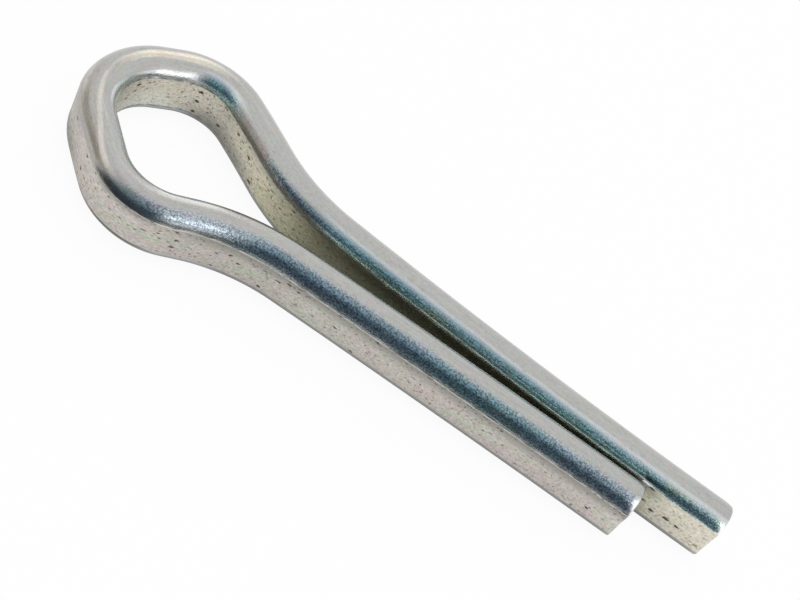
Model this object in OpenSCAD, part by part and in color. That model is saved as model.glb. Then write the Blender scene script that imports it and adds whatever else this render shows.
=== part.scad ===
// Cotter pin bent from one length of flat-sided wire: an eye, a neck and two unequal legs.
// The wire has two flats and two round crowns. It is bent in the plane of the eye, with its flats
// facing in and out and its crowns facing up and down, and the pin lies on its lower crown.
// Millimetres. X runs from the eye to the tips, Y across the legs with the long leg on +Y, Z up.
// The origin is on the floor, under the middle of the pin's length and width.

/* [Wire] */
// Thickness of the wire between its two flats
wire_t = 3.6; // [3:0.1:4.4]
// Height of the wire from crown to crown
wire_h = 6.9; // [5.7:0.1:8.3]
// Height of each flat, from the crease under one crown to the crease under the other
flat_h = 3.8; // [3.1:0.1:4.6]

/* [Eye] */
// Radius of the bend round the eye's end, at the middle of the wire
end_r = 6.6; // [5.5:0.1:8]
// Angle of the end bend on each side of its middle
end_angle = 48.5; // [40:0.5:58.5]
// Radius of the two shoulder bends, at the middle of the wire
shoulder_r = 6.6; // [5.5:0.1:8]
// Nearly straight wire between the end bend and the long leg's shoulder
long_side = 2; // [0.5:0.1:4]
// Nearly straight wire between the end bend and the short leg's shoulder
short_side = 4.4; // [3:0.1:6]
// Angle by which the eye is turned towards the short leg
eye_lean = 2.8; // [0.5:0.1:5]
// Distance of the end bend's centre from the pin's centre line, towards the long leg
eye_shift = 2.6; // [1.5:0.1:3.5]
// Radius of the slight bow along the eye's sides and flanks
spring_r = 150; // [100:5:300]

/* [Neck] */
// Nearly straight wire between the long leg's shoulder and its neck bend
long_flank = 6; // [3:0.1:8]
// Nearly straight wire between the short leg's shoulder and its neck bend
short_flank = 1.5; // [0.5:0.1:4]
// Radius of the two neck bends, at the middle of the wire
neck_r = 20.5; // [17:0.5:24.5]

/* [Legs] */
// Length of the long leg, from the neck bend to its tip
long_leg = 44; // [37:0.5:53.5]
// Length of the short leg, from the neck bend to its tip
short_leg = 37.5; // [31:0.5:42]
// Angle at which the long leg leaves its neck bend, bowing straight by its tip
long_lead = 4.1; // [2:0.1:5]
// Angle at which the short leg leaves its neck bend, bowing straight by its tip
short_lead = 1.5; // [0.5:0.1:3]
// Clear gap that the legs would leave between their tips
tip_gap = 0.6; // [0.3:0.1:2]

/* [Cut ends] */
// Radius rolled over each crown where the wire was cut
crown_edge_r = 0.4; // [0.2:0.1:1.2]
// Radius rolled over each flat where the wire was cut
flat_edge_r = 0.2; // [0.1:0.1:0.5]

/* [Hidden] */
LONG = 1;
SHORT = -1;
bend_fn = 72;
bow_fn = 720;
crown_fn = 40;
edge_fn = 24;

// Sizes are kept to this part of a millimetre, and turns to this part of a degree
fine = 1000;
function whole_parts(v, parts) = round(v * parts) / parts;
function arc_angle(length, r) = whole_parts(length / r * 180 / PI, 100);

// Each crown is one arc over the wire's thickness, which meets both flats at a crease
crown_rise = (wire_h - flat_h) / 2;
crown_r = whole_parts((pow(wire_t / 2, 2) + pow(crown_rise, 2)) / (2 * crown_rise), fine);
crown_z = wire_h / 2 - crown_r;
cut_l = crown_edge_r + 0.2;

// Sizes that differ between the two sides of the pin
function side_bow(side) = arc_angle(side == LONG ? long_side : short_side, spring_r);
function flank_bow(side) = arc_angle(side == LONG ? long_flank : short_flank, spring_r);
function lead_angle(side) = side == LONG ? long_lead : short_lead;
function leg_r(side) =
    round(((side == LONG ? long_leg : short_leg) - cut_l) / (lead_angle(side) * PI / 180));

// A pose is [x, y, heading] on the middle line of the wire. A bend is [radius, angle], and its
// angle is positive for a turn to the left.
function bend_centre(p, b) = [p.x - b[0] * sign(b[1]) * sin(p.z), p.y + b[0] * sign(b[1]) * cos(p.z)];
function bend_end(p, b) =
    let (c = bend_centre(p, b), r = b[0] * sign(b[1]), heading = p.z + b[1])
    [c.x + r * sin(heading), c.y - r * cos(heading), heading];
function pose_after(p, bends, n) = n == 0 ? p : bend_end(pose_after(p, bends, n - 1), bends[n - 1]);

// Each side starts at the middle of the end bend and turns away from the other side
function eye_pose(side) =
    [-end_r * cos(eye_lean), eye_shift + end_r * sin(eye_lean), side * 90 - eye_lean];
function eye_bends(side) = [[end_r, -side * end_angle], [spring_r, -side * side_bow(side)]];
function shoulder_pose(side) = pose_after(eye_pose(side), eye_bends(side), 2);

// The flank's angle to X where the neck starts is the one that brings the leg, once it has bowed
// parallel to X, to half the tip gap from the pin's centre line
function flank_angle(side) =
    let (
        p = shoulder_pose(side),
        lead = lead_angle(side),
        bow = flank_bow(side),
        reach = (tip_gap + wire_t) / 2 - side * p.y + shoulder_r * cos(p.z)
            + neck_r * cos(lead) + leg_r(side) * (1 - cos(lead)),
        near = shoulder_r - spring_r,
        along = spring_r + neck_r + near * cos(bow),
        across = near * sin(bow)
    )
    whole_parts(acos(reach / norm([along, across])) + atan2(across, along), 100);

function side_bends(side) =
    let (flank = flank_angle(side), bow = flank_bow(side))
    concat(eye_bends(side), [
        [shoulder_r, -side * (flank - bow) - shoulder_pose(side).z],
        [spring_r, -side * bow],
        [neck_r, side * (flank - lead_angle(side))],
        [leg_r(side), side * lead_angle(side)],
    ]);
function leg_end(side) = pose_after(eye_pose(side), side_bends(side), 6);

// Box round the pin, which sets the origin
function outer_y(side) =
    bend_centre(shoulder_pose(side), [shoulder_r, -side]).y + side * (shoulder_r + wire_t / 2);
eye_x = -(end_r + wire_t / 2);
tip_x = max(leg_end(LONG).x, leg_end(SHORT).x) + cut_l;
origin = [(eye_x + tip_x) / 2, (outer_y(LONG) + outer_y(SHORT)) / 2, -wire_h / 2];

// Moves its children to point v of the pin's plane. The move is split into whole millimetres,
// thousandths and the rest, so that neighbouring bends meet without a gap.
module at(v) {
    to = [v.x, v.y, 0] - origin;
    coarse = [for (t = to) round(t)];
    middle = [for (t = to - coarse) whole_parts(t, fine)];
    translate(coarse) translate(middle) translate(to - coarse - middle) children();
}

// Section of the wire, with its thickness along X and its height along Y
module wire_section() {
    intersection() {
        square([wire_t, wire_h + 2], center = true);
        union() {
            square([2 * crown_r, 2 * crown_z], center = true);
            for (side = [-1, 1])
                translate([0, side * crown_z]) circle(r = crown_r, $fn = crown_fn);
        }
    }
}

// Length of wire bent to radius b[0] through angle b[1] from pose p
module wire_bend(p, b) {
    first = b[1] > 0 ? p.z - 90 : p.z + 90 + b[1];
    turn_fn = b[0] < 100 ? bend_fn : bow_fn;
    at(bend_centre(p, b))
        rotate_extrude(angle = abs(b[1]), start = first, $fn = turn_fn)
            translate([b[0], 0]) wire_section();
}

// Flat strip of width w and length cut_l with its two far corners rounded
module rounded_strip(w) {
    e = flat_edge_r;
    translate([0, -w / 2]) square([cut_l - e, w]);
    translate([0, e - w / 2]) square([cut_l, w - 2 * e]);
    for (side = [-1, 1])
        translate([cut_l - e, side * (w / 2 - e)]) circle(r = e, $fn = edge_fn);
}

// Round bar of the crown's radius along X, with its far edge rolled over
module crown_bar() {
    e = crown_edge_r;
    rotate([0, 90, 0]) rotate_extrude($fn = crown_fn) {
        square([crown_r - e, cut_l]);
        square([crown_r, cut_l - e]);
        translate([crown_r - e, cut_l - e]) intersection() {
            circle(r = e, $fn = edge_fn);
            square(e);
        }
    }
}

// Cut end of a leg: the wire's section over cut_l, with the edges of its far face rolled over
module cut_end(p) {
    at(p) intersection() {
        union() {
            for (side = [-1, 1])
                translate([0, 0, side * crown_z]) crown_bar();
            translate([0, -crown_r, -crown_z]) cube([cut_l, 2 * crown_r, 2 * crown_z]);
        }
        translate([0, 0, -wire_h]) linear_extrude(2 * wire_h) rounded_strip(wire_t);
    }
}

// One side of the pin, from the middle of the eye's end to the leg's tip
module pin_side(side) {
    bends = side_bends(side);
    for (i = [0 : len(bends) - 1])
        wire_bend(pose_after(eye_pose(side), bends, i), bends[i]);
    cut_end(leg_end(side));
}

module cotter_pin() {
    color("silver") {
        pin_side(LONG);
        pin_side(SHORT);
    }
}

cotter_pin();
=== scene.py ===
"""Looks of the cotter pin: the bent wire with its plated finish, its studio and its camera.

The wire is swept along its own middle line by a Geometry Nodes tree, which also leaves the
attributes that the finish reads: how far a point lies along the wire, and where it lies on the
wire's section. Lengths are metres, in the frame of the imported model; the sizes of the classes
are millimetres and degrees.
"""

import logging
import math
from dataclasses import dataclass, field, fields
from enum import Enum

import bpy
from mathutils import Matrix, Quaternion, Vector


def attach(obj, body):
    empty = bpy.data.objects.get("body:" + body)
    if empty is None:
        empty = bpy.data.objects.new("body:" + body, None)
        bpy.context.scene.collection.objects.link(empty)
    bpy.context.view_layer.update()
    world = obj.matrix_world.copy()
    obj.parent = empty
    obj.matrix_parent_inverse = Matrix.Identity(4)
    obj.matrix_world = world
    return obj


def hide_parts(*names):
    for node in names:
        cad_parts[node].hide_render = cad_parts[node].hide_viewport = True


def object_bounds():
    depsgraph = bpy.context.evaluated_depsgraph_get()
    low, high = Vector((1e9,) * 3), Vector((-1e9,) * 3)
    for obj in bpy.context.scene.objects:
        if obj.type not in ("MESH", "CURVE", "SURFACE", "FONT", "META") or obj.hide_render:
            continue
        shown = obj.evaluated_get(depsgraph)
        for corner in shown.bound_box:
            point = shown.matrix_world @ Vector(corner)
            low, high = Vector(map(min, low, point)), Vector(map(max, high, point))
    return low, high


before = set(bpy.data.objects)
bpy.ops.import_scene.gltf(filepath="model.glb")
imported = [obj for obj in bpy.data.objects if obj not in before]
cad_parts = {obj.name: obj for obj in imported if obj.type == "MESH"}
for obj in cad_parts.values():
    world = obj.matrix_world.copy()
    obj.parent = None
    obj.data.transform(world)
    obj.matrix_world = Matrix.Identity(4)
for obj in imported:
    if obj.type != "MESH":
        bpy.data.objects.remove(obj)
CAD_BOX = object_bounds()

MM = 0.001
BODY = "root"
CAD_NODE = "cotter_pin"
log = logging.getLogger("cotter_pin")

Colour = tuple[float, float, float]
Place = tuple[float, float, float]
Pose = tuple[float, float, float]
Rise = tuple[float, float]
Span = tuple[float, float, float, float]
Box = tuple[Vector, Vector]
Socket = bpy.types.NodeSocket
Outputs = bpy.types.NodeOutputs


class Side(Enum):
    """Side of the pin: the long leg lies on +Y, the short one on -Y."""

    LONG = 1
    SHORT = -1


# ---- small helpers


def link_object(name: str, data: bpy.types.ID) -> bpy.types.Object:
    """Makes an object of some data and puts it in the scene.

    Args:
        name: The object's name.
        data: Its mesh, curve, light or camera.

    Returns:
        The new object, at the origin.
    """
    obj = bpy.data.objects.new(name, data)
    bpy.context.scene.collection.objects.link(obj)
    return obj


def sampled(start: float, end: float, step: float) -> list[float]:
    """Even steps from start to end, both included, none longer than the step given."""
    count = max(1, math.ceil(abs(end - start) / step))
    return [start + (end - start) * i / count for i in range(count + 1)]


class Tree:
    """A node tree that is written as a chain of calls, with the sockets that it keeps by name.

    A value may be a socket or a number.
    """

    def __init__(self, nodes: bpy.types.NodeTree) -> None:
        """Takes the tree to fill."""
        self.tree = nodes
        self.at: dict[str, Socket] = {}

    @classmethod
    def emptied(cls, owner: bpy.types.Material | bpy.types.World) -> "Tree":
        """Turns on the nodes of a material or world and clears them.

        Args:
            owner: The material or world.

        Returns:
            Its tree, with nothing in it.
        """
        owner.use_nodes = True
        owner.node_tree.nodes.clear()
        return cls(owner.node_tree)

    def add(self, kind: str, inputs: dict | None = None, **settings: object) -> bpy.types.Node:
        """Adds a node, sets its properties and feeds its inputs.

        Args:
            kind: The node's type name.
            inputs: Value or socket for each input, by the input's name or number.
            settings: Properties of the node.

        Returns:
            The new node.
        """
        node = self.tree.nodes.new(kind)
        for key, value in settings.items():
            setattr(node, key, value)
        for key, value in (inputs or {}).items():
            self.feed(node.inputs[key], value)
        return node

    def feed(self, socket: Socket, value: object) -> None:
        """Links a socket to an output, or sets its value.

        Args:
            socket: The input to feed.
            value: An output, a number, a name, a colour or a vector.
        """
        if isinstance(value, Socket):
            self.tree.links.new(value, socket)
        elif isinstance(value, tuple) and socket.type == "RGBA":
            socket.default_value = (*value, 1.0)
        else:
            socket.default_value = value

    def math(self, operation: str, *values: object, clamp: bool = False) -> Socket:
        """A Math node over one to three values; gives its output."""
        node = self.add("ShaderNodeMath", dict(enumerate(values)), operation=operation, use_clamp=clamp)
        return node.outputs[0]

    def vector(self, operation: str, *values: object) -> Socket:
        """A Vector Math node over its values; gives its vector output."""
        node = self.add("ShaderNodeVectorMath", dict(enumerate(values)), operation=operation)
        return node.outputs[0]

    def scaled(self, vector: object, factor: object) -> Socket:
        """A vector times a number."""
        node = self.add("ShaderNodeVectorMath", {0: vector, "Scale": factor}, operation="SCALE")
        return node.outputs[0]

    def product(self, first: object, *others: object) -> Socket:
        """All the values multiplied together.

        Args:
            first: First value.
            others: The values to multiply it by, in order.

        Returns:
            The product.
        """
        for value in others:
            first = self.math("MULTIPLY", first, value)
        return first

    def less(self, value: object, other: object) -> Socket:
        """A value less another."""
        return self.math("SUBTRACT", value, other)

    def inverse(self, value: object) -> Socket:
        """1 less the value."""
        return self.less(1.0, value)

    def line(self, value: object, slope: object, start: object) -> Socket:
        """A value times a slope, plus a start."""
        return self.math("MULTIPLY_ADD", value, slope, start)

    def swing(self, noise: object, amount: object, middle: object = 1.0) -> Socket:
        """A noise round 0.5 turned into a swing of some amount round a middle value."""
        return self.line(self.less(noise, 0.5), amount, middle)

    def smooth(self, value: object, low: float, high: float) -> Socket:
        """0 below low, 1 above high and a smooth step between them."""
        inputs = {"Value": value, "From Min": low, "From Max": high}
        return self.add("ShaderNodeMapRange", inputs, interpolation_type="SMOOTHSTEP").outputs[0]

    def band(self, value: object, edges: tuple[float, ...]) -> Socket:
        """A smooth rise from 0 to 1 between two edges and, where there are four, a fall to 0."""
        rise = self.smooth(value, *edges[:2])
        return self.less(rise, self.smooth(value, *edges[2:])) if edges[2:] else rise

    def noise(self, place: object, detail: float, seed: object, scale: object = 1.0) -> Outputs:
        """A noise in four dimensions; its first output is round 0.5 and its second is a colour."""
        inputs = {"Vector": place, "Scale": scale, "Detail": detail, "W": seed}
        return self.add("ShaderNodeTexNoise", inputs, noise_dimensions="4D").outputs

    def between(self, share: object, low: object, high: object) -> Socket:
        """A number between two others."""
        return self.add("ShaderNodeMix", {0: share, 2: low, 3: high}).outputs[0]

    def mixed(self, share: object, low: object, high: object, blend: str = "MIX") -> Socket:
        """A colour between two others, or one laid on the other."""
        node = self.add("ShaderNodeMix", {0: share, 6: low, 7: high}, data_type="RGBA", blend_type=blend)
        return node.outputs[2]

    def levelled(self, colour: object, level: object) -> Socket:
        """A colour made darker or lighter by one level."""
        grey = self.add("ShaderNodeCombineColor", {0: level, 1: level, 2: level}).outputs[0]
        return self.mixed(1.0, colour, grey, "MULTIPLY")


# ---- the bent wire


@dataclass(frozen=True)
class WireSection:
    """Section of the flat-sided wire, two flats and two round crowns."""

    thickness: float = 3.6
    height: float = 6.9
    flat_height: float = 3.8
    crown_radius: float = 1.82
    step: float = 0.2
    crease_step: float = 0.07

    @property
    def crown_centre(self) -> float:
        """Height of a crown's centre above the middle of the wire."""
        return self.height / 2 - self.crown_radius

    def outline(self) -> list[tuple[float, float]]:
        """Points round the section, closer together at the four creases.

        Returns:
            (across, up) of each point, anticlockwise from the lower crease of the outer flat.
        """
        half, crease = self.thickness / 2, self.flat_height / 2
        near = [self.crease_step, 2 * self.crease_step]
        flat = sampled(-crease + near[1], crease - near[1], self.step)
        heights = [-crease, -crease + near[0], *flat, crease - near[0], crease]
        first = math.asin((crease - self.crown_centre) / self.crown_radius)
        turn = [v / self.crown_radius for v in near]
        arc = sampled(first + turn[1], math.pi - first - turn[1], self.step / self.crown_radius)
        angles = [first + turn[0], *arc, math.pi - first - turn[0]]
        crown = [
            (self.crown_radius * math.cos(a), self.crown_centre + self.crown_radius * math.sin(a))
            for a in angles
        ]
        upper = [(half, h) for h in heights] + crown
        return upper + [(-x, -y) for x, y in upper]


@dataclass(frozen=True)
class WireBends:
    """Middle line of the wire: six bends on each side of the eye."""

    section: WireSection = WireSection()
    end_radius: float = 6.6
    end_angle: float = 48.5
    shoulder_radius: float = 6.6
    side_run: dict[Side, float] = field(default_factory=lambda: {Side.LONG: 2.0, Side.SHORT: 4.4})
    eye_lean: float = 2.8
    eye_shift: float = 2.6
    spring_radius: float = 150.0
    flank_run: dict[Side, float] = field(default_factory=lambda: {Side.LONG: 6.0, Side.SHORT: 1.5})
    neck_radius: float = 20.5
    leg: dict[Side, float] = field(default_factory=lambda: {Side.LONG: 44.0, Side.SHORT: 37.5})
    lead: dict[Side, float] = field(default_factory=lambda: {Side.LONG: 4.1, Side.SHORT: 1.5})
    tip_gap: float = 0.6
    cut_length: float = 0.6
    tip_reach: dict[Side, float] = field(default_factory=lambda: {Side.LONG: 0.25, Side.SHORT: 0.06})
    step: float = 0.3
    end_rings: int = 10

    @staticmethod
    def turned(pose: Pose, radius: float, angle: float) -> Pose:
        """Pose at the far end of a bend.

        Args:
            pose: x, y and heading at its near end.
            radius: Radius of the bend.
            angle: Turn in degrees, positive to the left.

        Returns:
            x, y and heading at its far end.
        """
        x, y, heading = pose
        reach = math.copysign(radius, angle)
        before, after = math.radians(heading), math.radians(heading + angle)
        x += reach * (math.sin(after) - math.sin(before))
        y -= reach * (math.cos(after) - math.cos(before))
        return x, y, heading + angle

    @staticmethod
    def arc_angle(length: float, radius: float) -> float:
        """Turn of an arc of that length and radius, to a hundredth of a degree."""
        return round(math.degrees(length / radius), 2)

    def leg_radius(self, side: Side) -> float:
        """Radius of the bow along a leg, to a whole millimetre."""
        return round((self.leg[side] - self.cut_length) / math.radians(self.lead[side]))

    def eye_pose(self, side: Side) -> Pose:
        """Middle of the end bend, heading round one side of the eye.

        Args:
            side: The side of the pin.

        Returns:
            x, y and heading there.
        """
        lean = math.radians(self.eye_lean)
        x, y = -self.end_radius * math.cos(lean), self.eye_shift + self.end_radius * math.sin(lean)
        return x, y, side.value * 90 - self.eye_lean

    def shoulder_pose(self, side: Side) -> Pose:
        """Where a shoulder bend starts.

        Args:
            side: The side of the pin.

        Returns:
            x, y and heading there.
        """
        pose = self.turned(self.eye_pose(side), self.end_radius, -side.value * self.end_angle)
        bow = self.arc_angle(self.side_run[side], self.spring_radius)
        return self.turned(pose, self.spring_radius, -side.value * bow)

    def flank_angle(self, side: Side) -> float:
        """Angle of a flank to X at the neck, which brings the leg to half the tip gap.

        Args:
            side: The side of the pin.

        Returns:
            The angle in degrees, to a hundredth.
        """
        _, y, heading = self.shoulder_pose(side)
        cos_lead = math.cos(math.radians(self.lead[side]))
        bow = math.radians(self.arc_angle(self.flank_run[side], self.spring_radius))
        reach = (self.tip_gap + self.section.thickness) / 2 - side.value * y
        reach += self.shoulder_radius * math.cos(math.radians(heading))
        reach += self.neck_radius * cos_lead + self.leg_radius(side) * (1 - cos_lead)
        near = self.shoulder_radius - self.spring_radius
        ahead = self.spring_radius + self.neck_radius + near * math.cos(bow)
        aside = near * math.sin(bow)
        angle = math.acos(reach / math.hypot(ahead, aside)) + math.atan2(aside, ahead)
        return round(math.degrees(angle), 2)

    def bends(self, side: Side) -> list[tuple[float, float]]:
        """The bends from the middle of the end bend to the leg's cut end.

        Args:
            side: The side of the pin.

        Returns:
            Radius and turn of each bend, in order.
        """
        sign, flank = side.value, self.flank_angle(side)
        side_bow = self.arc_angle(self.side_run[side], self.spring_radius)
        flank_bow = self.arc_angle(self.flank_run[side], self.spring_radius)
        shoulder = -sign * (flank - flank_bow) - self.shoulder_pose(side)[2]
        return [
            (self.end_radius, -sign * self.end_angle),
            (self.spring_radius, -sign * side_bow),
            (self.shoulder_radius, shoulder),
            (self.spring_radius, -sign * flank_bow),
            (self.neck_radius, sign * (flank - self.lead[side])),
            (self.leg_radius(side), sign * self.lead[side]),
        ]

    def side_points(self, side: Side) -> list[tuple[float, float]]:
        """Points along one side, from the middle of the end bend to the tip.

        Args:
            side: The side of the pin.

        Returns:
            x and y of each point, with the points closing up towards the cut end.
        """
        pose, points = self.eye_pose(side), []
        for radius, angle in self.bends(side):
            turns = sampled(0, angle, math.degrees(self.step / radius))
            points += [self.turned(pose, radius, turn)[:2] for turn in turns[:-1]]
            pose = self.turned(pose, radius, angle)
        steps = [1 - (1 - i / self.end_rings) ** 2 for i in range(self.end_rings + 1)]
        reach = self.cut_length + self.tip_reach[side]
        return points + [(pose[0] + reach * s, pose[1]) for s in steps]

    def middle_line(self, box: Box) -> list[Vector]:
        """The whole wire's middle line in the frame, from the long tip round to the short tip.

        Args:
            box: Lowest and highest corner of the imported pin, in metres.

        Returns:
            The points in metres.
        """
        low, high = box
        long_side, short_side = (self.side_points(side) for side in Side)
        line = long_side[::-1] + short_side[1:]
        half = self.section.thickness / 2
        _, y, heading = self.shoulder_pose(Side.LONG)
        crest = y + self.shoulder_radius * (1 - math.cos(math.radians(heading))) + half
        move_x = low.x / MM + self.end_radius + half
        move_y = high.y / MM - crest
        height = (low.z + high.z) / 2
        return [Vector(((x + move_x) * MM, (y + move_y) * MM, height)) for x, y in line]


@dataclass(frozen=True)
class SweptWire:
    """The wire swept along its middle line by a Geometry Nodes tree, as one closed mesh.

    Places along the wire are counted from the long leg's tip.
    """

    bends: WireBends
    box: Box
    crown_edge: float = 0.3
    flat_edge: float = 0.1
    tip_droop: float = 0.12
    droop_length: float = 1.2
    tip_slant: float = 0.07
    outer_crease_drop: float = 0.35
    eye_crease_rise: float = 0.25
    crease_burr: float = 0.02
    burr_reach: float = 0.14
    burr_scale: float = 1.3
    wave_depth: float = 0.02
    wave_scale: float = 0.22
    seed: float = 4.0
    crown_rolls: Rise = (1.0, 2.9)
    short_leg: Rise = (95.0, 103.0)
    eye_end: Span = (74.0, 81.0, 87.0, 95.0)
    outer_half: Rise = (-0.02, 0.02)
    burr_where: Rise = (0.4, 0.65)

    def sizes(self) -> dict[str, float]:
        """The sizes that the tree takes as inputs.

        Returns:
            Each input's name and value: the section's heights, then each single size of this class.
        """
        section = self.bends.section
        named = {
            "Crown centre": section.crown_centre,
            "Crown radius": section.crown_radius,
            "Crown top": section.height / 2,
            "Crease height": section.flat_height / 2,
        }
        single = [f.name for f in fields(self) if isinstance(getattr(self, f.name), float)]
        return named | {name.replace("_", " ").capitalize(): getattr(self, name) for name in single}

    @staticmethod
    def spline(name: str, points: list[Place], closed: bool) -> bpy.types.Object:
        """A curve object of one straight-sided spline.

        Args:
            name: The object's name.
            points: Its points.
            closed: Whether its last point joins its first.

        Returns:
            The object.
        """
        curve = bpy.data.curves.new(name, "CURVE")
        curve.dimensions = "3D"
        line = curve.splines.new("POLY")
        line.points.add(len(points) - 1)
        line.use_cyclic_u = closed
        for point, place in zip(line.points, points):
            point.co = (*place, 1.0)
        return link_object(name, curve)

    def tree(self, material: bpy.types.Material) -> bpy.types.NodeTree:
        """Writes the sweep's node tree.

        Args:
            material: The wire's finish.

        Returns:
            The tree, with one input for each size, in millimetres.
        """
        nodes = bpy.data.node_groups.new("bent_wire", "GeometryNodeTree")
        face = nodes.interface
        face.new_socket("Geometry", in_out="INPUT", socket_type="NodeSocketGeometry")
        face.new_socket("Section", in_out="INPUT", socket_type="NodeSocketObject")
        for name, size in self.sizes().items():
            face.new_socket(name, in_out="INPUT", socket_type="NodeSocketFloat").default_value = size
        face.new_socket("Geometry", in_out="OUTPUT", socket_type="NodeSocketGeometry")
        t = Tree(nodes)
        t.at.update((socket.name, socket) for socket in t.add("NodeGroupInput").outputs)
        mesh = self.waved(t, self.shaped(t, self.swept(t)))
        smooth = t.add("GeometryNodeSetShadeSmooth", {"Geometry": mesh}).outputs[0]
        dressed = t.add("GeometryNodeSetMaterial", {"Geometry": smooth, "Material": material}).outputs[0]
        real = t.add("GeometryNodeRealizeInstances", {"Geometry": dressed}).outputs[0]
        t.add("NodeGroupOutput", {"Geometry": real})
        return nodes

    @staticmethod
    def store(t: Tree, geometry: object, name: str, value: object, kind: str = "FLOAT") -> Socket:
        """Stores a value on every point of some geometry and gives the geometry."""
        inputs = {"Geometry": geometry, "Name": name, "Value": value}
        return t.add("GeometryNodeStoreNamedAttribute", inputs, data_type=kind, domain="POINT").outputs[0]

    @staticmethod
    def stored(t: Tree, name: str, kind: str = "FLOAT") -> Socket:
        """Reads a stored value."""
        return t.add("GeometryNodeInputNamedAttribute", {"Name": name}, data_type=kind).outputs[0]

    def swept(self, t: Tree) -> Socket:
        """Sweeps the section along the middle line and stores where each point lies, in millimetres.

        Args:
            t: The sweep's tree.

        Returns:
            The swept mesh.
        """
        place = t.add("GeometryNodeInputPosition").outputs[0]
        tangent = t.add("GeometryNodeInputTangent").outputs[0]
        length = t.add("GeometryNodeSplineParameter").outputs["Length"]
        total = t.add("GeometryNodeSplineLength").outputs["Length"]
        line = self.store(t, t.at["Geometry"], "middle", place, "FLOAT_VECTOR")
        outward = t.vector("CROSS_PRODUCT", tangent, (0.0, 0.0, 1.0))
        line = self.store(t, line, "outward", outward, "FLOAT_VECTOR")
        line = self.store(t, line, "along", t.math("DIVIDE", length, MM))
        to_end = t.math("MINIMUM", length, t.less(total, length))
        line = self.store(t, line, "to_end", t.math("DIVIDE", to_end, MM))
        info = t.add("GeometryNodeObjectInfo", {"Object": t.at["Section"]})
        parts = t.add("ShaderNodeSeparateXYZ", {0: t.add("GeometryNodeInputPosition").outputs[0]})
        ring = self.store(t, info.outputs["Geometry"], "across", parts.outputs["X"])
        ring = self.store(t, ring, "up", parts.outputs["Y"])
        node = t.add("GeometryNodeCurveToMesh", {"Curve": line, "Profile Curve": ring, "Fill Caps": True})
        return t.add("GeometryNodeFlipFaces", {"Mesh": node.outputs[0]}).outputs[0]

    @staticmethod
    def rolled(t: Tree, radius: Socket, to_end: Socket) -> Socket:
        """How far an edge has rolled in at some distance from the cut end.

        Args:
            t: The sweep's tree.
            radius: The edge's radius.
            to_end: The distance from the end.

        Returns:
            The roll, in millimetres.
        """
        part = t.math("DIVIDE", t.less(radius, to_end), radius, clamp=True)
        rest = t.math("SQRT", t.inverse(t.product(part, part)))
        return t.product(radius, t.inverse(rest))

    def shaped(self, t: Tree, mesh: object) -> Socket:
        """Puts each point at its place on the section and rolls over the edges of the cut ends.

        Args:
            t: The sweep's tree.
            mesh: The swept mesh.

        Returns:
            The shaped mesh.
        """
        across, to_end = (self.stored(t, name) for name in ("across", "to_end"))
        up = self.uneven(t)
        left = t.less(t.at["Droop length"], to_end)
        left = t.math("DIVIDE", left, t.at["Droop length"], clamp=True)
        droop = t.product(t.at["Tip droop"], t.math("POWER", left, 2.0))
        crown_roll = t.math("ADD", self.rolled(t, t.at["Crown edge"], to_end), droop)
        flat_roll = self.rolled(t, t.at["Flat edge"], to_end)
        more = t.less(crown_roll, flat_roll)
        roll = t.line(more, t.band(up, self.crown_rolls), flat_roll)
        keep = t.inverse(t.math("DIVIDE", roll, t.at["Crown radius"]))
        high = t.math("MINIMUM", t.math("ABSOLUTE", up), t.at["Crown centre"])
        centre = t.product(t.math("SIGN", up), high)
        new_up = t.line(t.less(up, centre), keep, centre)
        outward, middle = (self.stored(t, name, "FLOAT_VECTOR") for name in ("outward", "middle"))
        aside = t.scaled(outward, t.product(t.product(across, keep), MM))
        slant = t.product(t.math("MINIMUM", new_up, 0.0), left, t.at["Tip slant"])
        raised = t.add("ShaderNodeCombineXYZ", {"X": t.product(slant, -MM), "Z": t.product(new_up, MM)})
        place = t.vector("ADD", t.vector("ADD", middle, aside), raised.outputs[0])
        return t.add("GeometryNodeSetPosition", {"Geometry": mesh, "Position": place}).outputs[0]

    def uneven(self, t: Tree) -> Socket:
        """Height on the section, with the upper creases a little lower or higher along the wire.

        Args:
            t: The sweep's tree.

        Returns:
            The height of each point above the wire's middle, in millimetres.
        """
        along, across, up = (self.stored(t, name) for name in ("along", "across", "up"))
        drop = t.product(t.at["Outer crease drop"], t.band(along, self.short_leg))
        rise = t.product(t.band(along, self.eye_end), t.at["Eye crease rise"])
        outer = t.product(t.band(across, self.outer_half), t.less(drop, rise), -1.0)
        crown = t.less(t.at["Crown top"], t.at["Crease height"])
        above = t.math("DIVIDE", t.less(t.at["Crown top"], up), crown)
        below = t.math("DIVIDE", up, t.at["Crease height"], clamp=True)
        return t.line(outer, t.math("MINIMUM", above, below), up)

    def waved(self, t: Tree, mesh: object) -> Socket:
        """Adds the slight waves of drawn wire and the ragged burr along each crease.

        Args:
            t: The sweep's tree.
            mesh: The shaped mesh.

        Returns:
            The finished mesh.
        """
        place = t.vector("DIVIDE", t.add("GeometryNodeInputPosition").outputs[0], (MM, MM, MM))
        waves = t.noise(place, 2.0, t.at["Seed"], t.at["Wave scale"])[0]
        wave = t.product(t.less(waves, 0.5), t.at["Wave depth"])
        ragged = t.noise(place, 3.0, t.at["Seed"], t.at["Burr scale"])[0]
        high = t.math("ABSOLUTE", self.stored(t, "up"))
        off = t.math("ABSOLUTE", t.less(high, t.at["Crease height"]))
        near = t.inverse(t.smooth(off, 0.0, t.at["Burr reach"]))
        burr = t.product(near, t.band(ragged, self.burr_where), t.at["Crease burr"])
        rise = t.product(t.math("ADD", wave, burr), MM)
        offset = t.scaled(t.add("GeometryNodeInputNormal").outputs[0], rise)
        return t.add("GeometryNodeSetPosition", {"Geometry": mesh, "Offset": offset}).outputs[0]

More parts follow.
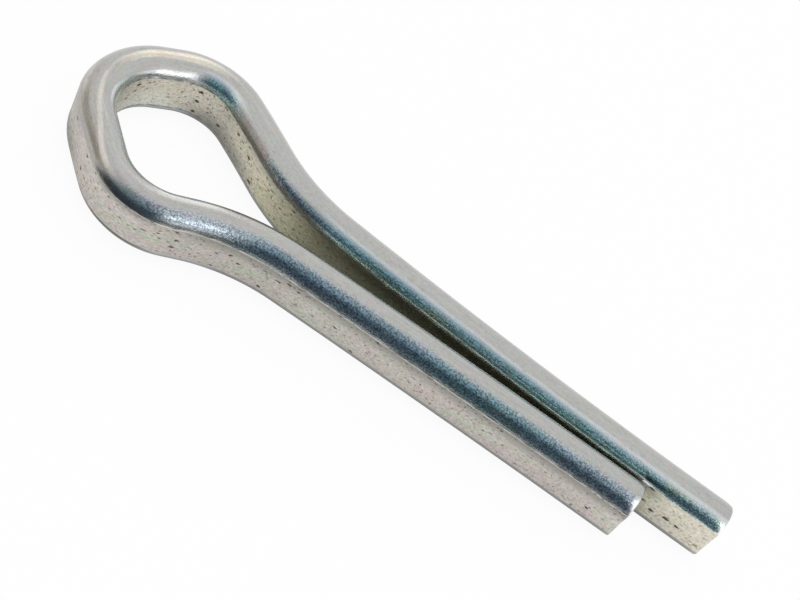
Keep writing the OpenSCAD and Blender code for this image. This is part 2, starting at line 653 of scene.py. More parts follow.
    def build(self, material: bpy.types.Material) -> bpy.types.Object:
        """Makes the wire's mesh.

        Args:
            material: The wire's finish.

        Returns:
            The finished piece, at the origin, with no modifier left on it.
        """
        line = self.spline("middle_line", [tuple(p) for p in self.bends.middle_line(self.box)], False)
        ring = self.spline("section", [(x, y, 0.0) for x, y in self.bends.section.outline()], True)
        tree = self.tree(material)
        sweep = line.modifiers.new("sweep", "NODES")
        sweep.node_group = tree
        for item in tree.interface.items_tree:
            if item.in_out == "INPUT" and item.name == "Section":
                sweep[item.identifier] = ring
        bpy.context.view_layer.update()
        graph = bpy.context.evaluated_depsgraph_get()
        shaped = line.evaluated_get(graph)
        mesh = bpy.data.meshes.new_from_object(shaped, preserve_all_data_layers=True, depsgraph=graph)
        mesh.name = "pin_wire"
        for helper in (line, ring):
            bpy.data.objects.remove(helper)
        return link_object("pin_wire", mesh)


# ---- the finish


@dataclass(frozen=True)
class Grain:
    """A noise over the wire: cells to a millimetre along it and round it, detail and seed."""

    along: float
    round_wire: float
    detail: float
    seed: float
    scale: float = 1.0

    def outputs(self, t: Tree) -> Outputs:
        """The noise's value, round 0.5, and its colour."""
        place = t.vector("MULTIPLY", t.at["wire"], (self.along, self.round_wire, self.round_wire))
        return t.noise(place, self.detail, self.seed, self.scale)

    def value(self, t: Tree) -> Socket:
        """The noise's value."""
        return self.outputs(t)[0]


@dataclass(frozen=True)
class Patch:
    """A part of the wire with a colour laid on with soft edges; some patches are the plating's own colour,
    many are painted light and painted shade.

    Each band is the name of a value that PlatedFinish.places gives and its two or four edges, or
    the name alone where the value is a mask already.
    """

    colour: Colour
    share: float
    bands: tuple[tuple[str | float, ...], ...]
    blend: str = "MIX"

    def over(self, t: Tree, under: object) -> Socket:
        """The colour under the patch with the patch laid on it."""
        masks = [t.band(t.at[name], edges) if edges else t.at[name] for name, *edges in self.bands]
        return t.mixed(t.product(*masks, self.share), under, self.colour, self.blend)


@dataclass(frozen=True)
class PitLayer:
    """One size of pit, scattered in loose crowds; cells to a millimetre along and round the wire."""

    cells: Rise
    reach: Rise
    seed: float
    depth: float
    share: float = 0.42
    crowding: float = 1.6
    raggedness: float = 0.42
    edge: Rise = (0.55, 1.3)

    def mask(self, t: Tree) -> Socket:
        """Where the layer's pits lie.

        Args:
            t: The material's tree.

        Returns:
            The layer's depth in a pit and 0 outside it.
        """
        along, round_wire = self.cells
        place = t.vector("MULTIPLY", t.at["wire"], (along, round_wire, round_wire))
        place = t.vector("ADD", place, (self.seed, self.seed * 0.7, self.seed * 0.3))
        node = t.add("ShaderNodeTexVoronoi", {"Vector": place, "Scale": 1.0, "Randomness": 1.0}).outputs
        pick = t.add("ShaderNodeSeparateColor", {0: node["Color"]}).outputs
        crowd = Grain(0.2, 0.45, 2.0, self.seed + 30.0).value(t)
        chosen = t.math("GREATER_THAN", t.swing(crowd, self.crowding, pick[0]), 1.0 - self.share)
        size = t.line(pick[1], self.reach[1] - self.reach[0], self.reach[0])
        jitter = Grain(3.5, 6.0, 2.0, self.seed).value(t)
        far = t.swing(jitter, self.raggedness, node["Distance"])
        return t.product(t.inverse(t.band(t.math("DIVIDE", far, size), self.edge)), chosen, self.depth)


@dataclass(frozen=True)
class PlatedFinish:
    """Zinc plating over drawn wire: bright grained crowns and dull, speckled flats, with painted
    highlights, painted dark reflections and painted shade laid into the colour in many places.

    Places along the wire are counted from the long leg's tip: its neck is near 50, the eye's
    closed end near 75 and the front shoulder, on the short leg's side, near 90.
    """

    name: str = "zinc_plated_wire"
    flat_cream: Colour = (0.675, 0.66, 0.585)
    flat_pink: Colour = (0.70, 0.632, 0.597)
    flat_green: Colour = (0.625, 0.652, 0.545)
    inner_cream: Colour = (0.78, 0.74, 0.63)
    inner_olive: Colour = (0.66, 0.63, 0.45)
    crown_pale: Colour = (0.46, 0.46, 0.445)
    # Painted highlight on the crown's inner side round the eye.
    crown_inside: Colour = (0.82, 0.87, 0.88)
    # Painted highlight along the crown's top round the eye's long side.
    crown_polish: Colour = (0.70, 0.65, 0.565)
    # Painted highlight: a cream line round the eye's closed end.
    crown_ridge: Colour = (0.64, 0.60, 0.555)
    # Painted dark reflection on the crown's outer side at the front shoulder.
    shoulder_dark: Colour = (0.02, 0.02, 0.025)
    # Navy, teal and olive cast down the legs' -Y side of the crowns: partly the plating's own colour,
    # partly painted reflection of the dark room on that side.
    tint_navy: Colour = (0.37, 0.42, 0.47)
    tint_teal: Colour = (0.30, 0.44, 0.45)
    tint_olive: Colour = (0.37, 0.42, 0.32)
    pit: Colour = (0.165, 0.14, 0.105)
    # Painted shade, laid under creases, at crown feet and low on inner walls.
    crease_shade: Colour = (0.34, 0.33, 0.30)
    flat_roughness: float = 0.45
    crown_roughness: float = 0.2
    pit_roughness: float = 0.8
    flat_grain: float = 0.3
    crown_grain: float = 0.36

    crown_above: Rise = (1.8, 2.0)
    inner_side: Rise = (1.3, 1.7)
    eye_start: Rise = (63.0, 67.0)
    eye_end: Rise = (87.0, 93.0)
    long_gap: Span = (5.0, 9.0, 38.0, 50.0)
    short_gap: Rise = (98.0, 106.0)
    cut_end: Rise = (0.25, 0.75)
    long_flank: Span = (51.0, 55.0, 58.0, 61.0)
    long_neck: Span = (44.0, 48.0, 58.0, 61.0)
    left_of_end: Span = (75.0, 77.0, 80.5, 84.0)
    front_shoulder: Span = (86.0, 88.0, 91.0, 93.5)
    olive_leg: Span = (8.0, 20.0, 46.0, 62.0)
    outer_edge: Rise = (0.4, 1.1)
    inner_edge: Rise = (1.06, 1.42)

    pink_drift: Grain = Grain(0.16, 0.5, 4.0, 11.0)
    green_drift: Grain = Grain(0.16, 0.5, 4.0, 27.0, 1.6)
    tint_grain: Grain = Grain(4.0, 5.0, 2.0, 3.0)
    tint_drift: Grain = Grain(0.1, 0.3, 2.0, 41.0)
    olive_drift: Grain = Grain(0.22, 0.5, 3.0, 53.0)
    sparkle: Grain = Grain(5.5, 7.0, 2.0, 61.0)
    streaks: Grain = Grain(0.3, 8.0, 2.0, 71.0)
    rubbing: Grain = Grain(0.5, 2.0, 3.0, 83.0)
    ragged: Grain = Grain(0.9, 0.0, 3.0, 19.0)
    fine: Grain = Grain(3.2, 5.4, 3.0, 5.0)
    speckle: Grain = Grain(5.0, 6.0, 1.0, 9.0)
    blotches: Grain = Grain(0.9, 1.8, 3.0, 97.0)
    bump_grain: Grain = Grain(6.0, 8.5, 1.0, 2.0)
    drawn_lines: Grain = Grain(0.35, 7.0, 2.0, 8.0)

    # Painted shade on the front shoulder's outer flat, under the crease.
    shoulder_top: Patch = Patch(crease_shade, 0.85, (("up", 1.0, 1.9), ("front_shoulder",)))
    # Painted shade on the outer flat under the crease, round the eye's closed end.
    left_top: Patch = Patch(crease_shade, 0.35, (("up", 0.9, 1.8), ("left_of_end",)))
    # Painted light low on the inner walls, from the top of the eye onwards.
    eye_foot: Patch = Patch((0.94, 0.94, 0.84), 1.0, (("down", -1.2, 1.7), ("along", 64.0, 71.0)))
    # Painted shade low on the inner wall along the long flank.
    flank_dusk: Patch = Patch(
        crease_shade, 0.85, (("down", -1.2, 1.7), ("down", -1.2, 1.7), ("along", 52.0, 57.0, 62.0, 68.0))
    )
    # Painted shade under the crease on the inner wall at the long neck.
    neck_dusk: Patch = Patch(crease_shade, 0.5, (("up", 0.9, 1.9), ("along", 40.0, 46.0, 54.0, 59.0)))
    inner_green: Patch = Patch(flat_green, 0.4, (("green",),))
    # Darker olive on the inner walls in the gaps: partly the plating's own colour, partly painted shade.
    gap_cast: Patch = Patch((0.50, 0.50, 0.38), 1.0, (("gap",),))
    # Painted shade on the upper inner wall of the long leg in the gap.
    gap_depth: Patch = Patch((0.10, 0.10, 0.07), 0.6, (("up", 0.2, 1.5), ("gap",), ("long",)))

    neck_slate: Patch = Patch((0.27, 0.29, 0.33), 0.75, (("along", 43.0, 47.0, 53.0, 56.0),))
    flank_brown: Patch = Patch((0.36, 0.335, 0.315), 1.0, (("long_flank",),))
    # Painted shade: a dark band on the crown's inner side over the gap.
    gap_band: Patch = Patch((0.16, 0.22, 0.225), 1.0, (("inward", 1.5, 1.62), ("gap",)), "MULTIPLY")
    # Painted highlight: a light lip on the crown at the inner crease over the gap.
    gap_lip: Patch = Patch((0.92, 1.0, 1.0), 1.0, (("inward", 1.68, 1.75), ("gap",)))
    # Painted shade at the foot of the crown's inner side along the long neck.
    neck_foot: Patch = Patch(
        (0.20, 0.19, 0.16), 0.6, (("inward", 1.48, 1.72), ("along", 44.0, 48.0, 57.0, 62.0))
    )
    eye_cream: Patch = Patch(
        (0.42, 0.405, 0.375), 1.0, (("along", 72.0, 78.0, 86.0, 92.0), ("across", 0.2, 1.2))
    )
    # Painted light on the crown by the outer crease round the eye's closed end.
    end_groove: Patch = Patch(
        (0.55, 0.525, 0.495), 1.0, (("across", 1.15, 1.35, 1.42, 1.55), ("along", 75.0, 77.0, 80.0, 84.0))
    )
    # Painted shade on the crown's inner side at the short leg's neck.
    neck_shade: Patch = Patch(
        (0.26, 0.25, 0.235), 1.0, (("inward", 0.65, 0.95), ("along", 96.5, 99.0, 102.0, 105.0))
    )
    # Painted light on the crown's inner side along the short leg by the gap.
    short_gap_side: Patch = Patch(
        (0.92, 0.93, 0.87), 1.0, (("inward", 0.75, 1.15), ("along", 101.0, 107.0))
    )
    # Painted light: a pale bluish edge where the cast band meets the pale crown on the long leg.
    pale_edge: Patch = Patch(
        (0.60, 0.63, 0.64), 1.0, (("inward", 0.65, 0.95, 1.2, 1.42), ("long",), ("off_neck",))
    )
    # Painted highlight on the crowns' -Y side at the cut ends.
    end_gleam: Patch = Patch((0.90, 0.92, 0.94), 1.0, (("cut_end",), ("side",)))
    # Painted light at the foot of the crown's outer side on the front shoulder.
    shoulder_foot: Patch = Patch(
        (0.66, 0.67, 0.67), 1.0, (("across", 1.5, 1.72), ("along", 89.5, 92.0, 97.0, 99.5))
    )
    # Painted shade at the foot of the crown's outer side round the eye's closed end.
    left_foot: Patch = Patch(
        crease_shade, 0.35, (("across", 1.5, 1.7), ("along", 74.0, 77.0, 84.0, 88.0))
    )
    # Painted shade on the short leg's outer side, rising to the crease and fading just above it.
    short_dusk: Patch = Patch(
        crease_shade, 0.88, (("up", -0.1, 1.95, 1.95, 2.3), ("across", 1.0, 1.5), ("along", 90.5, 98.0))
    )
    # Painted highlight: a light line along the outer creases from the front shoulder to the short tip.
    outer_line: Patch = Patch(
        (0.74, 0.72, 0.68), 0.85, (("outer_highlight_line",), ("across", -0.5, 0.5), ("along", 86.0, 92.0))
    )
    # Painted shade: a dark line along the inner creases from the long neck onwards.
    inner_line: Patch = Patch(
        (0.20, 0.19, 0.16), 0.8, (("inner_shade_line",), ("inward", 0.0, 1.0), ("along", 46.0, 54.0))
    )

    large_pits: PitLayer = PitLayer((0.75, 1.5), (0.10, 0.27), 5.3, 1.0)
    small_pits: PitLayer = PitLayer((1.5, 3.0), (0.13, 0.33), 17.1, 0.7)
    dust_pits: PitLayer = PitLayer((2.6, 4.2), (0.15, 0.36), 37.9, 0.38)

    def places(self, t: Tree) -> None:
        """Keeps in the tree where a point lies on the wire, and the masks of the wire's parts.

        Args:
            t: The material's tree.
        """
        stored = ("along", "across", "up", "to_end")
        t.at = {n: t.add("ShaderNodeAttribute", attribute_name=n).outputs["Fac"] for n in stored}
        wire = t.add("ShaderNodeCombineXYZ", {"X": t.at["along"], "Y": t.at["across"], "Z": t.at["up"]})
        t.at["wire"] = wire.outputs[0]
        t.at["inward"], t.at["down"] = t.product(t.at["across"], -1.0), t.product(t.at["up"], -1.0)
        t.at["high"] = t.math("ABSOLUTE", t.at["up"])
        t.at["crown"] = t.band(t.at["high"], self.crown_above)
        t.at["inner"] = t.band(t.at["inward"], self.inner_side)
        t.at["long"] = t.inverse(t.band(t.at["along"], self.eye_start))
        t.at["short"] = t.band(t.at["along"], self.eye_end)
        gaps = (t.band(t.at["along"], edges) for edges in (self.long_gap, self.short_gap))
        t.at["gap"] = t.math("MAXIMUM", *gaps)
        t.at["off_neck"] = t.inverse(t.band(t.at["along"], self.long_neck))
        for name in ("long_flank", "left_of_end", "front_shoulder"):
            t.at[name] = t.band(t.at["along"], getattr(self, name))
        t.at["cut_end"] = t.inverse(t.band(t.at["to_end"], self.cut_end))
        t.at["green"] = t.band(self.green_drift.value(t), (0.54, 0.76))
        # The crowns' upper -Y side, which carries the cast that is partly painted reflection.
        sides = (
            t.product(t.band(t.at["across"], self.outer_edge), t.at["short"]),
            t.product(t.band(t.at["inward"], self.inner_edge), t.at["long"]),
        )
        t.at["side"] = t.product(t.math("MAXIMUM", *sides), t.smooth(t.at["up"], -1.0, 1.0))
        # Masks for a painted highlight line and a painted shade line along the creases.
        t.at["outer_highlight_line"], t.at["inner_shade_line"] = self.crease_lines(t)

    def crease_lines(self, t: Tree) -> tuple[Socket, Socket]:
        """A thin and a wider ragged line along each crease, for a painted highlight line and a painted
        shade line.

        Args:
            t: The material's tree.

        Returns:
            The masks of the two lines.
        """
        ragged = self.ragged.value(t)
        broken = t.smooth(ragged, 0.33, 0.6)
        masks = []
        for height, width in ((1.9, 0.07), (1.93, 0.16)):
            off = t.math("ABSOLUTE", t.less(t.at["high"], t.swing(ragged, 0.2, height)))
            masks.append(t.product(t.inverse(t.smooth(off, width * 0.2, width)), broken))
        return masks[0], masks[1]

    def flat_colour(self, t: Tree) -> Socket:
        """Cream flats with pink and green patches and, inside the eye and gap, an olive cast that is
        partly painted shade, with painted shade under the creases and low on the inner walls and painted
        light low inside the eye.

        Args:
            t: The material's tree.

        Returns:
            The flats' colour.
        """
        pink = t.smooth(self.pink_drift.value(t), 0.38, 0.60)
        outer = t.mixed(pink, self.flat_cream, self.flat_pink)
        outer = t.mixed(t.at["green"], outer, self.flat_green)
        # Painted shade on the outer flat round the eye's closed end, heaviest at its foot.
        foot = t.line(t.smooth(t.at["down"], -0.2, 1.5), 0.5, 0.3)
        outer = t.mixed(t.product(foot, t.at["left_of_end"]), outer, self.crease_shade)
        # Painted shade under the crease at the front shoulder and round the eye's closed end.
        for patch in (self.shoulder_top, self.left_top):
            outer = patch.over(t, outer)
        inner = t.mixed(t.band(t.at["along"], self.olive_leg), self.inner_cream, self.inner_olive)
        # Painted light and painted shade on the inner walls, their green patches, and the gaps' olive cast
        # that is partly painted shade.
        for patch in (
            self.eye_foot, self.flank_dusk, self.neck_dusk, self.inner_green, self.gap_cast, self.gap_depth
        ):
            inner = patch.over(t, inner)
        return t.mixed(t.at["inner"], outer, inner)

    def tint_colour(self, t: Tree) -> Socket:
        """Navy, teal and olive down the crowns' -Y side, partly the plating's own colour and partly
        painted reflection of the dark room there, with a painted dark band and a painted light lip over
        the gap and painted shade at the long neck's crown foot.

        Args:
            t: The material's tree.

        Returns:
            The tint's colour.
        """
        grain = self.tint_grain.value(t)
        drift = t.less(self.tint_drift.value(t), 0.5)
        lean = t.line(t.at["long"], 0.28, -0.08)
        teal = t.math("ADD", t.swing(grain, 1.1, drift), lean)
        cast_and_reflection = t.mixed(t.smooth(teal, -0.12, 0.22), self.tint_navy, self.tint_teal)
        olive = t.swing(grain, 0.25, self.olive_drift.value(t))
        cast_and_reflection = t.mixed(t.smooth(olive, 0.58, 0.72), cast_and_reflection, self.tint_olive)
        for patch in (self.neck_slate, self.flank_brown):
            cast_and_reflection = patch.over(t, cast_and_reflection)
        flecks = t.smooth(self.sparkle.value(t), 0.36, 0.64)
        flecks = t.swing(flecks, t.line(t.at["long_flank"], -0.75, 1.0))
        flecks = t.product(flecks, t.line(t.at["long"], 0.2, 1.0))
        cast_and_reflection = t.levelled(cast_and_reflection, flecks)
        # Painted shade band and painted highlight lip over the gap, and painted shade at the long neck's
        # crown foot.
        for patch in (self.gap_band, self.gap_lip, self.neck_foot):
            cast_and_reflection = patch.over(t, cast_and_reflection)
        return cast_and_reflection

    def pale_colour(self, t: Tree) -> Socket:
        """Pale crown with painted highlights and painted shade round the eye and painted light beside the
        short leg's gap and on the long leg's band edge, streaked along the wire.

        Args:
            t: The material's tree.

        Returns:
            The pale crown's colour.
        """
        # Painted highlights and painted shade round the eye.
        pale = self.polished(t, self.eye_cream.over(t, self.crown_pale))
        # Painted light on the crown's inner side beside the short leg's gap.
        pale = self.short_gap_side.over(t, pale)
        pale = t.levelled(pale, t.swing(self.streaks.value(t), 0.38))
        # Painted light on the long leg's band edge.
        return self.pale_edge.over(t, pale)

    def polished(self, t: Tree, pale: Socket) -> Socket:
        """Painted highlights on the crown round the eye: brighter on its inner side and along the top of
        its long side, lighter by the outer crease and with a cream line round its closed end, and painted
        shade at the short leg's neck.

        Args:
            t: The material's tree.
            pale: The pale crown's colour.

        Returns:
            The colour with the painted highlights and shade on it.
        """
        # Painted highlight on the crown's inner side round the eye, where a lamp is mirrored.
        shift = t.line(t.smooth(t.at["along"], 74.0, 79.0), -0.48, 0.48)
        shift = t.line(t.smooth(t.at["along"], 88.0, 92.0), -0.5, shift)
        inside = t.smooth(t.less(t.at["inward"], shift), 0.9, 1.2)
        inside = t.product(inside, t.band(t.at["along"], (64.0, 67.0, 96.0, 99.0)))
        pale = t.mixed(inside, pale, self.crown_inside)
        # Painted highlight along the crown's top round the eye's long side, with ragged edges.
        off_top = t.math("ABSOLUTE", t.math("ADD", t.at["across"], 0.1))
        ragged_off_top = t.swing(self.rubbing.value(t), 0.5, off_top)
        top_highlight = t.band(t.at["along"], (62.0, 67.0, 71.0, 76.0))
        top_highlight = t.product(t.inverse(t.smooth(ragged_off_top, 0.22, 0.55)), top_highlight)
        pale = t.mixed(top_highlight, pale, self.crown_polish)
        # Painted light on the crown by the outer crease round the eye's closed end.
        pale = self.end_groove.over(t, pale)
        # Painted highlight: a cream line round the eye's closed end, from the crown's top towards the
        # outer crease.
        crest = t.product(t.smooth(t.at["along"], 78.0, 87.0), 1.05)
        off = t.math("ABSOLUTE", t.less(t.at["across"], crest))
        ridge = t.band(t.at["along"], (74.0, 79.0, 86.0, 90.0))
        ridge = t.product(t.inverse(t.smooth(off, 0.08, 0.34)), ridge)
        pale = t.mixed(ridge, pale, self.crown_ridge)
        return self.neck_shade.over(t, pale)

    def crown_colour(self, t: Tree) -> Socket:
        """Pale crowns with a navy and teal cast down their -Y side, partly the plating's own colour and
        partly painted reflection, with painted highlights at the cut ends, painted light and shade at the
        crown's foot and a painted dark reflection on the front shoulder.

        Args:
            t: The material's tree.

        Returns:
            The crowns' colour.
        """
        crown = t.mixed(t.at["side"], self.pale_colour(t), self.tint_colour(t))
        # Painted highlight at the cut ends, painted light and painted shade at the crown's foot.
        for patch in (self.end_gleam, self.shoulder_foot, self.left_foot):
            crown = patch.over(t, crown)
        # Painted dark reflection on the crown's outer side at the front shoulder.
        dark = t.line(t.smooth(t.at["across"], 1.6, 1.75), 0.3, 0.3)
        dark = t.product(t.smooth(t.at["across"], 0.6, 1.0), t.at["front_shoulder"], dark)
        return t.mixed(dark, crown, self.shoulder_dark)

    def pits(self, t: Tree) -> Socket:
        """Small long dark pits of three sizes, mostly on the flats.

        Args:
            t: The material's tree.

        Returns:
            1 in the deepest pits and 0 outside them.
        """
        tip = t.inverse(t.smooth(t.at["along"], 8.0, 10.0))
        clean = t.line(t.product(tip, t.at["inner"]), -0.45, 1.0)
        pits = self.large_pits.mask(t)
        for layer in (self.small_pits, self.dust_pits):
            pits = t.math("MAXIMUM", pits, t.product(layer.mask(t), clean))
        return t.product(pits, t.inverse(t.product(t.at["crown"], 0.85)))

    def colour(self, t: Tree, pit: Socket) -> Socket:
        """The whole wire's colour.

        Args:
            t: The material's tree.
            pit: Where the pits are.

        Returns:
            The colour.
        """
        colour = t.mixed(t.at["crown"], self.flat_colour(t), self.crown_colour(t))
        amount = t.line(t.at["crown"], -0.75, 1.15)
        colour = t.levelled(colour, t.swing(self.fine.value(t), amount))
        blotch = self.blotches.outputs(t)["Color"]
        cast = t.vector("MULTIPLY_ADD", blotch, (0.22, 0.22, 0.22), (0.89, 0.89, 0.89))
        colour = t.mixed(1.0, colour, cast, "MULTIPLY")
        # Painted shade by the short leg's outer crease, a painted highlight line and a painted shade line.
        for patch in (self.short_dusk, self.outer_line, self.inner_line):
            colour = patch.over(t, colour)
        return t.mixed(pit, colour, self.pit)

    def bumped(self, t: Tree, pit: Socket) -> Socket:
        """Grain of the plating, drawing lines along the wire, and the pits' depth.

        Args:
            t: The material's tree.
            pit: Where the pits are.

        Returns:
            The bumped normal.
        """
        grain = t.product(self.bump_grain.value(t), 0.9)
        height = t.line(self.drawn_lines.value(t), 0.8, grain)
        strength = t.between(t.at["crown"], self.flat_grain, self.crown_grain)
        first = t.add("ShaderNodeBump", {"Strength": strength, "Distance": 0.035 * MM, "Height": height})
        inputs = {"Strength": 0.7, "Distance": 0.05 * MM, "Height": t.product(pit, -1.0)}
        return t.add("ShaderNodeBump", inputs | {"Normal": first.outputs[0]}).outputs[0]

    def build(self) -> bpy.types.Material:
        """Writes the material.

        Returns:
            The material, with its surface read from the wire's stored values.
        """
        material = bpy.data.materials.new(self.name)
        t = Tree.emptied(material)
        self.places(t)
        pit = self.pits(t)
        rough = t.between(t.at["crown"], self.flat_roughness, self.crown_roughness)
        rough = t.between(pit, t.swing(self.speckle.value(t), 0.2, rough), self.pit_roughness)
        inputs = {"Base Color": self.colour(t, pit), "Roughness": rough, "Metallic": 1.0}
        shader = t.add("ShaderNodeBsdfPrincipled", inputs | {"Normal": self.bumped(t, pit)})
        t.add("ShaderNodeOutputMaterial", {"Surface": shader.outputs[0]})
        return material


# ---- the studio


@dataclass(frozen=True)
class StudioCamera:
    """Camera at the pin's near side, rolled so that the pin lies slantwise before it."""

    target: Place = (-0.304, 0.997, 3.5)
    azimuth: float = 1.911
    elevation: float = 48.094
    roll: float = 36.987
    distance: float = 135.429
    sensor: float = 36.0
    lens: float = 65.52405
    clip: Rise = (0.005, 10.0)

    def build(self) -> bpy.types.Object:
        """Makes the camera and gives it to the scene.

        Returns:
            The camera.
        """
        turn, tilt, roll = (math.radians(v) for v in (self.azimuth, self.elevation, self.roll))
        ahead = Vector((math.sin(turn) * math.cos(tilt), math.cos(turn) * math.cos(tilt), -math.sin(tilt)))
        level = Vector((math.cos(turn), -math.sin(turn), 0.0))
        upright = level.cross(ahead)
        right = level * math.cos(roll) + upright * math.sin(roll)
        up = upright * math.cos(roll) - level * math.sin(roll)
        data = bpy.data.cameras.new("camera")
        data.sensor_width, data.lens = self.sensor, self.lens
        data.clip_start, data.clip_end = self.clip
        camera = link_object("camera", data)
        camera.matrix_world = Matrix((right, up, -ahead)).transposed().to_4x4()
        camera.location = Vector(self.target) * MM - ahead * self.distance * MM
        bpy.context.scene.camera = camera
        return camera


@dataclass(frozen=True)
class SoftLamp:
    """A square or oblong soft lamp, aimed at a point."""

    name: str
    place: Place
    size: Rise
    radiance: float
    aim: Place = (0.0, 0.0, 3.0)
    colour: Colour = (1.0, 1.0, 1.0)
    turn: float = 0.0
    mirrored: bool = True

    def build(self) -> bpy.types.Object:
        """Makes the lamp; its power is set from how bright its face is.

        Returns:
            The lamp.
        """
        data = bpy.data.lights.new(self.name, "AREA")
        data.shape = "RECTANGLE"
        data.size, data.size_y = (v * MM for v in self.size)
        data.energy = self.radiance * math.pi * data.size * data.size_y
        data.color = self.colour
        lamp = link_object(self.name, data)
        lamp.location = Vector(self.place) * MM
        toward = Vector(self.aim) * MM - lamp.location
        turned = Quaternion((0.0, 0.0, 1.0), math.radians(self.turn))
        lamp.rotation_euler = (toward.to_track_quat("-Z", "Y") @ turned).to_euler()
        lamp.visible_glossy = self.mirrored
        return lamp


@dataclass(frozen=True)
class Surrounding:
    """Something beyond the white sweep that the bright crowns show.

    Azimuth 0 is along +X and 90 is along +Y.
    """

    middle: float
    half_width: float
    side_fade: float
    elevation: Rise
    fade: Rise
    colour: Colour

    def share(self, t: Tree, way: Outputs) -> Socket:
        """How much of it is seen in a direction.

        Args:
            t: The world's tree.
            way: The direction's three parts.

        Returns:
            1 in its middle and 0 away from it.
        """
        turn = math.radians(self.middle)
        ahead = t.line(way["X"], math.cos(turn), t.product(way["Y"], math.sin(turn)))
        aside = t.line(way["Y"], math.cos(turn), t.product(way["X"], -math.sin(turn)))
        azimuth = t.math("ABSOLUTE", t.math("DEGREES", t.math("ARCTAN2", aside, ahead)))
        elevation = t.math("DEGREES", t.math("ARCSINE", way["Z"]))
        (low, high), (below, above) = self.elevation, self.fade
        off = t.smooth(azimuth, self.half_width, self.half_width + self.side_fade)
        return t.product(t.band(elevation, (low - below, low, high, high + above)), t.inverse(off))


@dataclass(frozen=True)
class PaleFloor:
    """White floor with a faint shadow, which the crowns show dark in the room beyond."""

    size: float = 4000.0
    albedo: Colour = (0.85, 0.85, 0.85)
    glow: float = 1.03
    glow_share: float = 0.9
    shade_reach: float = 7.0
    dark: Colour = (0.12, 0.145, 0.155)
    dark_near: Rise = (14.0, 20.0)
    left_nearer: float = 5.0
    left_end: Rise = (-14.0, -7.0)
    right_slope: float = 0.53
    right_edge: Rise = (38.0, 60.0)
    left_slope: float = 0.62
    left_start: float = -36.0
    left_edge: Rise = (0.0, 15.0)

    def darkness(self, t: Tree) -> Socket:
        """Where the floor is dark.

        Args:
            t: The floor's tree.

        Returns:
            The mask.
        """
        place = t.add("ShaderNodeTexCoord").outputs["Object"]
        parts = t.add("ShaderNodeSeparateXYZ", {0: t.vector("DIVIDE", place, (MM, MM, MM))}).outputs
        away = t.product(parts["Y"], -1.0)
        left = t.inverse(t.band(parts["X"], self.left_end))
        near = t.band(t.line(left, -self.left_nearer, away), self.dark_near)
        right = t.band(t.line(away, -self.right_slope, parts["X"]), self.right_edge)
        beyond = t.less(parts["X"], self.left_start)
        beyond = t.band(t.line(beyond, self.left_slope, away), self.left_edge)
        return t.product(near, t.inverse(right), beyond)

    def build(self) -> bpy.types.Object:
        """Makes the floor and puts it in the scene.

        Returns:
            The floor.
        """
        half = self.size / 2 * MM
        mesh = bpy.data.meshes.new("floor")
        corners = [(-half, -half, 0), (half, -half, 0), (half, half, 0), (-half, half, 0)]
        mesh.from_pydata(corners, [], [(0, 1, 2, 3)])
        floor = link_object("floor", mesh)
        material = bpy.data.materials.new("pale_floor")
        t = Tree.emptied(material)
        glossy = t.add("ShaderNodeLightPath").outputs["Is Glossy Ray"]
        colour = t.mixed(t.product(self.darkness(t), glossy), (1.0, 1.0, 1.0), self.dark)
        reach = {"Distance": self.shade_reach * MM}
        open_sky = t.add("ShaderNodeAmbientOcclusion", reach, samples=6).outputs["AO"]
        shaded = t.line(t.less(open_sky, 1.0), glossy, 1.0)
        plain = t.add("ShaderNodeBsdfDiffuse", {"Color": self.albedo})
        glow = t.add("ShaderNodeEmission", {"Color": colour, "Strength": t.product(shaded, self.glow)})
        share = t.math("MAXIMUM", t.product(shown_white(t), self.glow_share), glossy)
        mix = t.add("ShaderNodeMixShader", {0: share, 1: plain.outputs[0], 2: glow.outputs[0]})
        t.add("ShaderNodeOutputMaterial", {"Surface": mix.outputs[0]})
        mesh.materials.append(material)
        return floor


def shown_white(t: Tree) -> Socket:
    """Finds the rays that see the white background.

    Args:
        t: The tree to write in.

    Returns:
        1 for rays from the camera and for what metal and glass show, 0 for the rest.
    """
    path = t.add("ShaderNodeLightPath").outputs
    seen = t.math("MAXIMUM", path["Is Camera Ray"], path["Is Glossy Ray"])
    return t.math("MAXIMUM", seen, path["Is Transmission Ray"])


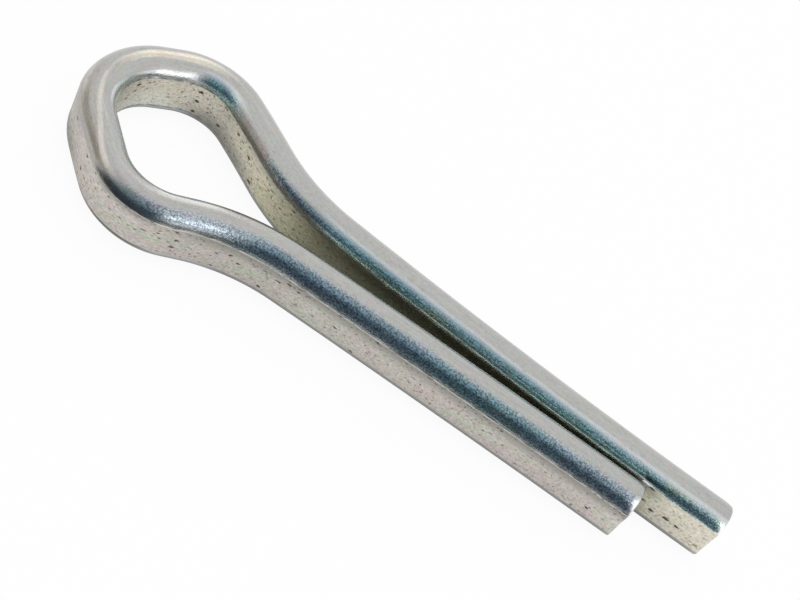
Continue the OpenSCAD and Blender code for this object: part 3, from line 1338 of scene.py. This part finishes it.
@dataclass(frozen=True)
class Studio:
    """White sweep and soft lamps. The crowns also show a pale blue, a grey and a dark surrounding."""

    floor: PaleFloor = PaleFloor()
    world_light: float = 0.6
    surroundings: tuple[Surrounding, ...] = (
        Surrounding(-100.0, 20.0, 26.0, (-5.0, 44.0), (5.0, 42.0), (0.33, 0.44, 0.50)),
        Surrounding(-176.0, 12.0, 20.0, (10.0, 26.0), (16.0, 14.0), (0.54, 0.51, 0.47)),
        Surrounding(-104.0, 30.0, 22.0, (-40.0, 20.0), (5.0, 18.0), (0.08, 0.115, 0.145)),
    )
    lamps: tuple[SoftLamp, ...] = (
        SoftLamp("overhead", (0.0, 100.0, 900.0), (700.0, 700.0), 0.9, mirrored=False),
        SoftLamp("back_strip", (-181.0, 498.0, 285.0), (130.0, 250.0), 0.65, colour=(1.0, 0.92, 0.8)),
        SoftLamp(
            "right_box", (420.0, -352.0, 244.0), (440.0, 210.0), 1.1, colour=(0.95, 1.0, 1.0), turn=-42.0
        ),
    )

    def world(self) -> None:
        """White all round, a little dimmer for the light it gives; metal also shows the room."""
        world = bpy.data.worlds.new("studio")
        t = Tree.emptied(world)
        way = t.add("ShaderNodeSeparateXYZ", {0: t.add("ShaderNodeTexCoord").outputs["Generated"]}).outputs
        glossy = t.add("ShaderNodeLightPath").outputs["Is Glossy Ray"]
        colour: object = (1.0, 1.0, 1.0)
        for thing in self.surroundings:
            colour = t.mixed(t.product(thing.share(t, way), glossy), colour, thing.colour)
        seen_more = 1.0 - self.world_light
        strength = t.line(shown_white(t), seen_more, self.world_light)
        shader = t.add("ShaderNodeBackground", {"Color": colour, "Strength": strength})
        t.add("ShaderNodeOutputWorld", {"Surface": shader.outputs[0]})
        bpy.context.scene.world = world

    def build(self) -> None:
        """Puts the world, floor and lamps in the scene."""
        bpy.context.scene.view_settings.view_transform = "Standard"
        self.world()
        self.floor.build()
        for lamp in self.lamps:
            lamp.build()


# ---- the whole scene


def main() -> None:
    """Builds the camera, the studio and the pin, and reports each piece."""
    logging.basicConfig(level=logging.INFO, format="%(name)s: %(message)s")
    StudioCamera().build()
    Studio().build()
    finish = PlatedFinish().build()
    wire = SweptWire(WireBends(), CAD_BOX).build(finish)
    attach(wire, BODY)
    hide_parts(CAD_NODE)
    log.info("%s: %d vertices, %d faces", wire.name, len(wire.data.vertices), len(wire.data.polygons))


if __name__ == "__main__":
    main()
